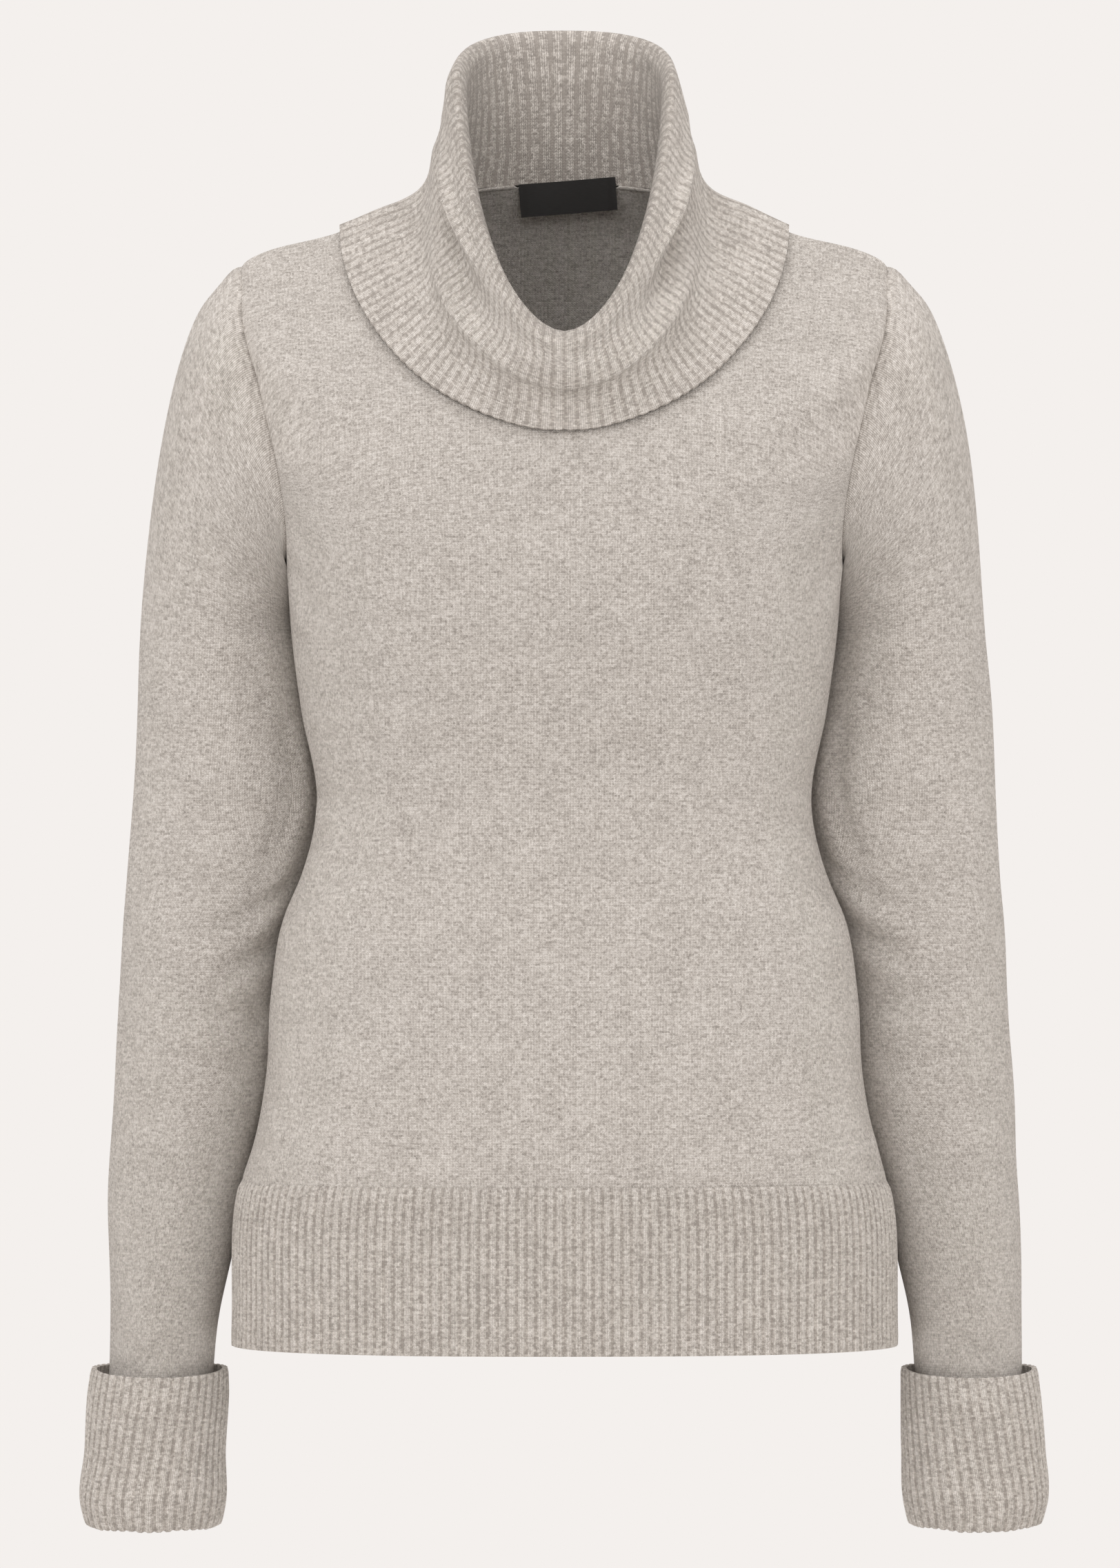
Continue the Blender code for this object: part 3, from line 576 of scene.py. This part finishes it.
def body_panel(name, back, material):
    levels = np.concatenate([np.linspace(RIB_TOP_LEVEL, UNDERARM_LEVEL, BODY_ROWS + 1)[:-1],
                             armhole_levels(ARM_ROWS),
                             np.linspace(SHOULDER_LEVEL, NECK_LEVEL, YOKE_ROWS + 1)[1:]])
    share = np.linspace(-1, 1, PANEL_COLUMNS + 1)
    half = np.pi / 2 - armhole_angle(levels)
    theta = (np.pi if back else 0.0) + half[:, None] * share[None, :]
    level = np.broadcast_to(levels[:, None], theta.shape)
    smooth = torso(theta, level)
    normals = torso_normal(theta, level)
    at_armhole = seam_normals()
    count = ARM_ROWS + 1
    edge = np.concatenate([at_armhole[:1], at_armhole[:count - 2:-1]]) if back else at_armhole[:count]
    left, right = (0, -1) if back else (-1, 0)
    rows = slice(BODY_ROWS, BODY_ROWS + count)
    normals[rows, left] = edge
    normals[rows, right] = mirrored(edge)
    away = np.minimum(1 - np.abs(share), 0.12)[None, :] / 0.12
    relief = body_relief(theta, level) * away - near_edges(smooth)
    outer = smooth + normals * relief[..., None]
    inner = smooth - normals * CLOTH
    outer, inner = eased(outer), eased(inner)
    pull_back(outer, inner, ("low", "start", "end"))
    across = lengths(smooth, 1)
    across = across - across[:, [PANEL_COLUMNS // 2]]
    hand = -1 if back else 1
    upright = np.clip((level - 462) / 80, 0, 1)
    upright = upright * upright * (3 - 2 * upright)
    across = across + upright * (1.03 * hand * smooth[..., 0] - across)
    along = lengths(smooth, 0)[:, PANEL_COLUMNS // 2]
    middle_y, middle_z = smooth[:, PANEL_COLUMNS // 2, 1], smooth[:, PANEL_COLUMNS // 2, 2]
    height = np.interp(smooth[..., 2], middle_z, along) + np.maximum(smooth[..., 2] - middle_z[-1], 0)
    height += 0.41 * hand * (smooth[..., 1] - np.interp(smooth[..., 2], middle_z, middle_y))
    along = along[:, None] + upright * (height - along[:, None])
    knit = np.stack([across, along], axis=-1)
    piece = shell(name + "_knit", outer, inner, False, knit, 4, material)
    declare(piece, [name])


def even_angles(share, back, levels):
    fine = np.linspace(0, np.pi / 2, 400)
    middle = np.pi if back else 0.0
    angles = []
    for level in levels:
        ring = torso(middle + fine, np.full_like(fine, level))
        length = lengths(ring[None], 1)[0]
        angles.append(np.sign(share) * np.interp(np.abs(share) * length[-1], length, fine))
    return np.stack(angles)


def hem_rib(name, back, material):
    rows = 44
    levels = np.linspace(0, RIB_TOP_LEVEL, rows + 1)
    columns = HEM_RIBS * RIB_POINTS
    share = np.linspace(-1, 1, columns + 1)
    theta = (np.pi if back else 0.0) + even_angles(share, back, levels)
    level = np.broadcast_to(levels[:, None], theta.shape)
    smooth, normals = torso(theta, level), torso_normal(theta, level)
    wave = RIB_PROFILE[np.arange(columns + 1) % RIB_POINTS]
    rib = np.arange(columns + 1) // RIB_POINTS
    uneven = 1 + 0.16 * np.sin(rib * 2.4 + 1) + 0.1 * np.sin(rib * 0.9)
    top = np.clip((RIB_TOP_LEVEL - levels) / 5, 0, 1)[:, None]
    foot = 0.35 * np.exp(-(levels / 3.0) ** 2)[:, None]
    relief = RIB_RELIEF * wave * uneven * (0.25 + 0.75 * top) - 0.6 * (1 - top) - foot
    relief = relief + 0.5 * wander(theta * 4, level / 40, 12)
    sides = np.clip((1 - np.abs(share)) * 40, 0, 1)[None, :]
    outer = smooth + normals * (relief * sides)[..., None]
    inner = smooth - normals * CLOTH
    corner = 5.0 * np.clip((np.abs(share) - 0.93) / 0.07, 0, 1)[None, :] ** 2 * np.exp(-levels / 9)[:, None]
    outer[..., 2] += corner
    inner[..., 2] += corner
    pull_back(outer, inner, ("high", "start", "end"))
    ribs = np.arange(columns + 1) / RIB_POINTS * HEM_PITCH
    knit = np.stack(np.broadcast_arrays(ribs[None, :], levels[:, None]), axis=-1)
    piece = shell(name + "_knit", outer, inner, False, knit, 8, material)
    declare(piece, [name])


def sleeve(name, side, material):
    smooth = sleeve_surface(ARM_ROWS, CAP_ROWS, SLEEVE_ROWS)
    normals = -grid_normals(smooth, closed=True)
    normals[0] = seam_normals()
    turns = np.linspace(0, 2 * np.pi, smooth.shape[1], endpoint=False)[None, :]
    down = lengths(smooth, 0).mean(axis=1)[:, None]
    d = np.degrees(turns) + 0 * down
    s = down + 0 * turns
    seed = 21 if side == "left" else 34
    relief = 0.7 * wander(np.cos(turns) * 2, down / 55, seed) + 0.45 * wander(np.sin(turns) * 3, down / 28, seed + 1)
    shift = 0 if side == "left" else 11
    relief = relief + crease(d, s, (20, 262 + shift), (95, 300 + shift), 7, 3.0, 4)
    relief += crease(d, s, (15, 306 + shift), (80, 326 + shift), 7, 2.8, -3)
    relief += crease(d, s, (22, 350 + shift), (100, 338 + shift), 8, 2.4, 4)
    relief += crease(d, s, (40, 175), (62, 290), 8, 2.4, 3)
    relief += crease(d, s, (250, 292 + shift), (345, 268 + shift), 8, 3.0, -4)
    relief += crease(d, s, (262, 330 + shift), (350, 318 + shift), 8, 2.6, 3)
    relief += crease(d, s, (255, 150), (320, 118), 9, 2.6, 3)
    relief += crease(d, s, (105, 590 - shift), (200, 606 - shift), 6, 2.2, 2)
    relief += crease(d, s, (70, 612), (160, 622), 6, 2.0, -2)
    relief += crease(d, s, (215, 600 + shift / 2), (310, 586), 6, 2.4, 2)
    relief += crease(d, s, (60, 545), (150, 560 + shift), 7, 1.4, 2)
    relief += crease(d, s, (190, 470), (280, 486), 9, 1.6, 3)
    fade = np.clip(down / 18, 0, 1) * np.clip((down[-1] - down) / 10, 0, 1)
    relief = relief * fade - near_edges(smooth, edges=("low", "high"))
    outer = eased(smooth + normals * relief[..., None])
    inner = eased(smooth - normals * CLOTH)
    near = 4.0 * np.exp(-((smooth[..., 2] + 218) / 16) ** 2) * np.clip(np.cos(turns), 0, 1) ** 2
    near *= np.clip((down - 6) / 10, 0, 1)
    outer[..., 0] -= near
    inner[..., 0] -= near
    pull_back(outer, inner, ("low", "high"))
    around = lengths(np.concatenate([smooth, smooth[:, :1]], axis=1), 1)
    around = around[:, :-1] / around[:, -1:] * round(around[:, -1].mean() / WALE) * WALE
    knit = np.stack([around, np.broadcast_to(down, around.shape)], axis=-1)
    if side == "right":
        outer, inner = mirrored(outer), mirrored(inner)
    piece = shell(name + "_knit", outer, inner, True, knit, 4, material)
    declare(piece, [name])


def folded(name, middle, ribs, pitch, mirror, extra, node_name, material):
    """The ribbed shell of a folded tube, from the middle of its cloth."""
    normals = grid_normals(middle, closed=True)
    columns = middle.shape[1]
    wave = RIB_PROFILE[np.arange(columns) % RIB_POINTS]
    rib = np.arange(columns) // RIB_POINTS
    uneven = 1 + 0.15 * np.sin(rib * 2.4 + 1) + 0.1 * np.sin(rib * 0.9)
    down = lengths(middle, 0).mean(axis=1)[:, None]
    start = np.clip(down / 4, 0, 1)
    end = 0.45 + 0.55 * np.clip((down[-1] - down) / 2.5, 0, 1)
    relief = RIB_RELIEF * wave[None, :] * uneven[None, :] * start * end + extra
    shown = middle + normals * (RIB_CLOTH / 2 + relief)[..., None]
    hidden = middle - normals * (RIB_CLOTH / 2 - np.clip(extra, -9, 9))[..., None]
    rim = unit(shown[-1] - shown[-2])
    shown[-1] += rim * 0.45 * wave[:, None]
    if mirror:
        shown, hidden = mirrored(shown), mirrored(hidden)
    across = np.arange(columns) / RIB_POINTS * pitch
    knit = np.stack(np.broadcast_arrays(across[None, :], down), axis=-1)
    piece = shell(name, shown, hidden, True, knit, 8, material)
    declare(piece, [node_name])


def slide_columns(grid, offset):
    """Each row's points taken from further round it, by offset columns, so that ribs curve."""
    rows, columns = grid.shape[:2]
    places = np.arange(columns)
    ring = np.concatenate([grid, grid[:, :1]], axis=1)
    slid = np.empty_like(grid)
    for i in range(rows):
        at = (places + offset[i]) % columns
        for axis in range(3):
            slid[i, :, axis] = np.interp(at, np.arange(columns + 1), ring[i, :, axis])
    return slid


def cuff(name, side, material):
    rows, columns = 84, CUFF_RIBS * RIB_POINTS
    steps = np.linalg.norm(np.diff(CUFF[:, [0, 3]], axis=0), axis=1)
    knots = np.concatenate([[0], np.cumsum(steps)])
    fine = np.interp(np.linspace(0, 1, rows + 1), np.linspace(0, 1, len(knots)) ** 1.0, knots)
    even = np.linspace(0, knots[-1], rows + 1)
    z, drop, inner, outer, centre_y, half_depth = through(knots, CUFF, 0.5 * fine + 0.5 * even).T
    turns = np.linspace(0, 2 * np.pi, columns, endpoint=False)
    x = ((inner + outer) / 2)[:, None] - ((outer - inner) / 2)[:, None] * np.cos(turns)[None, :]
    y = centre_y[:, None] - half_depth[:, None] * np.sin(turns)[None, :]
    ahead = np.clip(np.sin(turns), 0, 1)
    middle = np.stack([x, y, z[:, None] - drop[:, None] * ahead[None, :]], axis=-1)
    share = ((0.5 * fine + 0.5 * even) / knots[-1])[:, None]
    outside = np.clip((share - 0.55) / 0.45, 0, 1)
    middle = slide_columns(middle, CUFF_SLANT * RIB_POINTS * outside * np.ones((1, columns)))
    seed = 41 if side == "left" else 47
    extra = 0.5 * wander(np.cos(turns)[None, :] * 3, share * 6, seed) * np.clip(share * 6, 0, 1)
    extra = extra + 0.8 * outside * wander(np.sin(turns)[None, :] * 2, share * 3, seed + 1)
    folded(name + "_knit", middle, CUFF_RIBS, CUFF_PITCH, side == "right", extra * np.clip((1 - share) * 8 + .3, 0, 1),
           name, material)


def cowl_reach(theta):
    turn = np.abs((theta + np.pi) % (2 * np.pi) - np.pi)
    return through(np.radians((0, 45, 90, 180)), np.array(COWL_REACH), turn)


def laid_ring(theta, row):
    front_share, side_share, front, side, back = row
    levels = np.linspace(NECK_LEVEL, UNDERARM_LEVEL, 160)
    length = lengths(torso(theta[None, :], levels[:, None]), 0)
    ahead = np.cos(theta) >= 0
    turned = np.cos(theta) ** 2
    share = side_share + np.where(ahead, front_share - side_share, 0) * turned
    wanted = cowl_reach(theta) * share
    level = np.array([np.interp(wanted[i], length[:, i], levels) for i in range(len(theta))])
    height = side + (np.where(ahead, front, back) - side) * turned
    return torso(theta, level) + torso_normal(theta, level) * height[:, None]


def cowl_ring(theta, row):
    half_width, side_y, side_z, front_y, front_z, back_y, back_z, front_square, back_square = row
    return body_ring(theta, half_width, (side_y, side_z), (front_y, front_z), (back_y, back_z),
                     front_square, back_square)


def spaced(ring_at, columns, front_share):
    fine = np.linspace(0, np.pi, 721)
    ring = ring_at(fine)
    length = lengths(ring[None], 1)[0]
    side = np.interp(np.pi / 2, fine, length)
    half = np.linspace(0, 1, columns // 2 + 1)
    wanted = np.interp(half, (0, front_share, 1), (0, side, length[-1]))
    theta = np.interp(wanted, length, fine)
    left = ring_at(theta)
    return np.concatenate([left, mirrored(left[-2:0:-1])])


def cowl(name, material):
    rows, columns = 92, (COWL_FRONT_RIBS + COWL_BACK_RIBS) * RIB_POINTS
    front_share = COWL_FRONT_RIBS / (COWL_FRONT_RIBS + COWL_BACK_RIBS)
    rings = [spaced(lambda theta, row=row: cowl_ring(theta, row), columns, front_share) for row in COWL]
    rings += [spaced(lambda theta, row=row: laid_ring(theta, row), columns, front_share) for row in COWL_LAID]
    rings = np.stack(rings)
    knots = lengths(rings, 0)[:, columns // 2]
    even = np.linspace(0, 1, rows + 1)
    kept = 0.5 * np.interp(even, np.linspace(0, 1, len(knots)), knots) + 0.5 * even * knots[-1]
    middle = through(knots, rings, kept)
    fold, edge = knots[COWL_FOLD_KNOT], knots[-1]
    s = np.clip((kept - fold) / (edge - fold), -1, 1)[:, None]
    turn = np.linspace(0, 2 * np.pi, columns, endpoint=False)
    place = np.minimum(turn, 2 * np.pi - turn) / (2 * np.pi) * 2     # 0 at the front, 1 at the back
    place = (place / front_share * 90)[None, :]                       # about 90 at the sides
    hand = np.where(turn < np.pi, 1.0, -1.0)[None, :]
    lift = np.where(hand > 0, 1.0, 0.92)
    extra = 0.0 * s * place
    for tall, down_middle, down_spread, round_middle, round_spread in COWL_DRAPE:
        extra = extra + tall * hump(s, down_middle, down_spread) * hump(place, round_middle, round_spread)
    extra = extra * lift + 0.8 * wander(place / 22 + hand, s * 4, 55) + 0.5 * wander(place / 9 * hand, s * 3, 56)
    extra = extra * np.clip(s / 0.12, 0, 1) * np.clip((1 - s) / 0.12, 0, 1)
    lean = COWL_LEAN * RIB_POINTS * hand * hump(s, 0.30, 0.16) * hump(place, 50, 26) * np.clip(s / 0.12, 0, 1)
    middle = slide_columns(middle, lean)
    folded(name + "_knit", middle, COWL_FRONT_RIBS + COWL_BACK_RIBS, COWL_PITCH, False, extra, name, material)


def neck_linking(material):
    """The raised row of linking stitches inside the neck seam."""
    theta = np.linspace(0, 2 * np.pi, 360, endpoint=False)
    line = torso(theta, NECK_LEVEL)
    normals = torso_normal(theta, NECK_LEVEL)
    up = unit(torso(theta, NECK_LEVEL) - torso(theta, NECK_LEVEL - 1))
    under_label = (line[:, 1] > 0) * np.clip((34 - np.abs(line[:, 0] - 1.5)) / 4, 0, 1)
    height = (1 - 0.7 * under_label)[:, None]
    centre = line - normals * (CLOTH - 0.3) + up * 1.5 * height
    turns = np.linspace(0, 2 * np.pi, 8, endpoint=False)
    beads = (1 + 0.10 * np.sin(theta * 90))[None, :, None]
    rings = centre[None] + beads * height[None] * (0.9 * np.cos(turns)[:, None, None] * normals[None]
                                                   + 1.9 * np.sin(turns)[:, None, None] * up[None])
    points = rings.transpose(1, 0, 2).reshape(-1, 3) * MM
    index = np.arange(len(points)).reshape(len(theta), 8)
    wrap = np.concatenate([index, index[:1]])
    faces = faces_of(wrap, True)
    mesh = bpy.data.meshes.new("neck_linking")
    mesh.from_pydata(points.tolist(), [], [tuple(f) for f in faces.tolist()])
    layer = mesh.uv_layers.new(name="knit")
    loops = np.empty(len(mesh.loops), np.int32)
    mesh.loops.foreach_get("vertex_index", loops)
    around = np.repeat(lengths(line[None], 1)[0], 8)
    values = np.stack([around, np.tile(np.arange(8) * 0.5, len(theta))], axis=-1)[loops] * MM
    layer.data.foreach_set("uv", values.ravel())
    mesh.materials.append(material)
    mesh.shade_smooth()
    piece = bpy.data.objects.new("neck_linking", mesh)
    bpy.context.scene.collection.objects.link(piece)
    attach(piece, "root")


def label(material):
    """A plain satin label with folded ends; the stitch at each upper corner that holds it is not drawn."""
    width, height, cloth = 57.0, 19.0, 0.8
    centre_x, top_z, tilt, clear, lean = 1.5, 22.5, math.radians(4.5), 4.6, 0.25
    across, down = np.linspace(-0.5, 0.5, 41) * width, np.linspace(0, 1, 15) * height
    neck = torso(np.linspace(np.pi / 2, 3 * np.pi / 2, 181), NECK_LEVEL)
    x = centre_x + across[None, :] * np.cos(tilt) + down[:, None] * np.sin(tilt)
    z = top_z + across[None, :] * np.sin(tilt) - down[:, None] * np.cos(tilt)
    z = z - 1.3 * (2 * across[None, :] / width) ** 4 * 0.3
    seam_y = np.interp(x, neck[::-1, 0], neck[::-1, 1])
    ripple = 0.35 * np.sin(across / 9)[None, :] * (down / height)[:, None]
    hem = 0.3 * (np.abs(across)[None, :] > width / 2 - 4) + 0 * down[:, None]
    face = np.stack([x, seam_y - clear + lean * down[:, None] + ripple - hem, z], axis=-1)
    behind = face + np.array([0, cloth, 0])
    knit = np.stack(np.broadcast_arrays(across[None, :], -down[:, None]), axis=-1)
    piece = shell("label_satin_piece", face, behind, False, knit, 1, material)
    declare(piece, ["label"])


HEM_PITCH, CUFF_PITCH, COWL_PITCH = 5.4, 5.4, 6.8
CUFF_SLANT = -1.2
COWL_LEAN = 0.8
COWL_INSIDE = 84.0      # length of cloth from the neck seam to the fold

plain = knit_material("wool_plain_knit")
plain_back = knit_material("wool_plain_knit_back", seed=31.0)
plain_sleeve = knit_material("wool_sleeve_knit", tone=0.985, seed=17.0)
hem_wool = knit_material("wool_hem_rib", HEM_PITCH, tone=0.99, seed=51.0)
cuff_wool = knit_material("wool_cuff_rib", CUFF_PITCH, tone=0.98, seed=57.0)
# painted shade: the cowl is darker from the neck seam to the fold, inside the collar
cowl_wool = knit_material("wool_cowl_rib", COWL_PITCH, seed=63.0, painted_shade_until=COWL_INSIDE)
linking_wool = knit_material("wool_linking", tone=0.97, seed=71.0)
satin = satin_material("black_label_satin")

body_panel("front", False, plain)
body_panel("back", True, plain_back)
hem_rib("hem_rib_front", False, hem_wool)
hem_rib("hem_rib_back", True, hem_wool)
for hand_side in ("left", "right"):
    sleeve("sleeve_" + hand_side, hand_side, plain_sleeve)
    cuff("cuff_" + hand_side, hand_side, cuff_wool)
cowl("cowl", cowl_wool)
neck_linking(linking_wool)
label(satin)

# ---------------------------------------------------------------- stage, light and camera
BACKGROUND = (0.905, 0.871, 0.847)
scene = bpy.context.scene
scene.view_settings.view_transform = "Standard"
world = bpy.data.worlds.new("studio")
scene.world = world
world.use_nodes = True
world.node_tree.nodes["Background"].inputs[0].default_value = (*BACKGROUND, 1)
world.node_tree.nodes["Background"].inputs[1].default_value = 1.0

bpy.ops.mesh.primitive_circle_add(vertices=96, radius=1.1, fill_type="NGON", location=(0, 0, -0.95))
floor = bpy.context.active_object
floor.name = "floor"
paper = bpy.data.materials.new("floor_paper")
paper.use_nodes = True
paper.node_tree.nodes["Principled BSDF"].inputs["Base Color"].default_value = (0.86, 0.84, 0.82, 1)
paper.node_tree.nodes["Principled BSDF"].inputs["Roughness"].default_value = 0.8
floor.data.materials.append(paper)


def area_light(name, place, target, size, power, colour=(1, 1, 1)):
    data = bpy.data.lights.new(name, "AREA")
    data.shape = "RECTANGLE"
    data.size, data.size_y = size
    data.energy = power
    data.color = colour
    lamp = bpy.data.objects.new(name, data)
    scene.collection.objects.link(lamp)
    lamp.location = place
    from mathutils import Vector
    aim = Vector(target) - Vector(place)
    lamp.rotation_euler = aim.to_track_quat("-Z", "Y").to_euler()
    return lamp


area_light("key", (-1.6, -2.6, 1.6), (0, 0, -0.3), (1.6, 1.6), 20)
area_light("front", (0.1, -3.3, 0.95), (0, 0, -0.25), (1.0, 1.0), 13)
area_light("fill", (1.9, -2.7, 0.5), (0, 0, -0.35), (1.8, 1.8), 9)
area_light("top", (0, -0.3, 2.2), (0, 0, -0.2), (1.4, 1.4), 11)

camera_data = bpy.data.cameras.new("camera")
camera = bpy.data.objects.new("camera", camera_data)
scene.collection.objects.link(camera)
camera.location = (-0.0025, -3.59, -0.333)
camera.rotation_euler = (math.radians(90), 0, 0)
camera_data.sensor_fit = "VERTICAL"
camera_data.sensor_height = 36.0
camera_data.lens = 36.0 * 3.5 / 0.887
camera_data.clip_start = 0.1
camera_data.clip_end = 30
scene.camera = camera
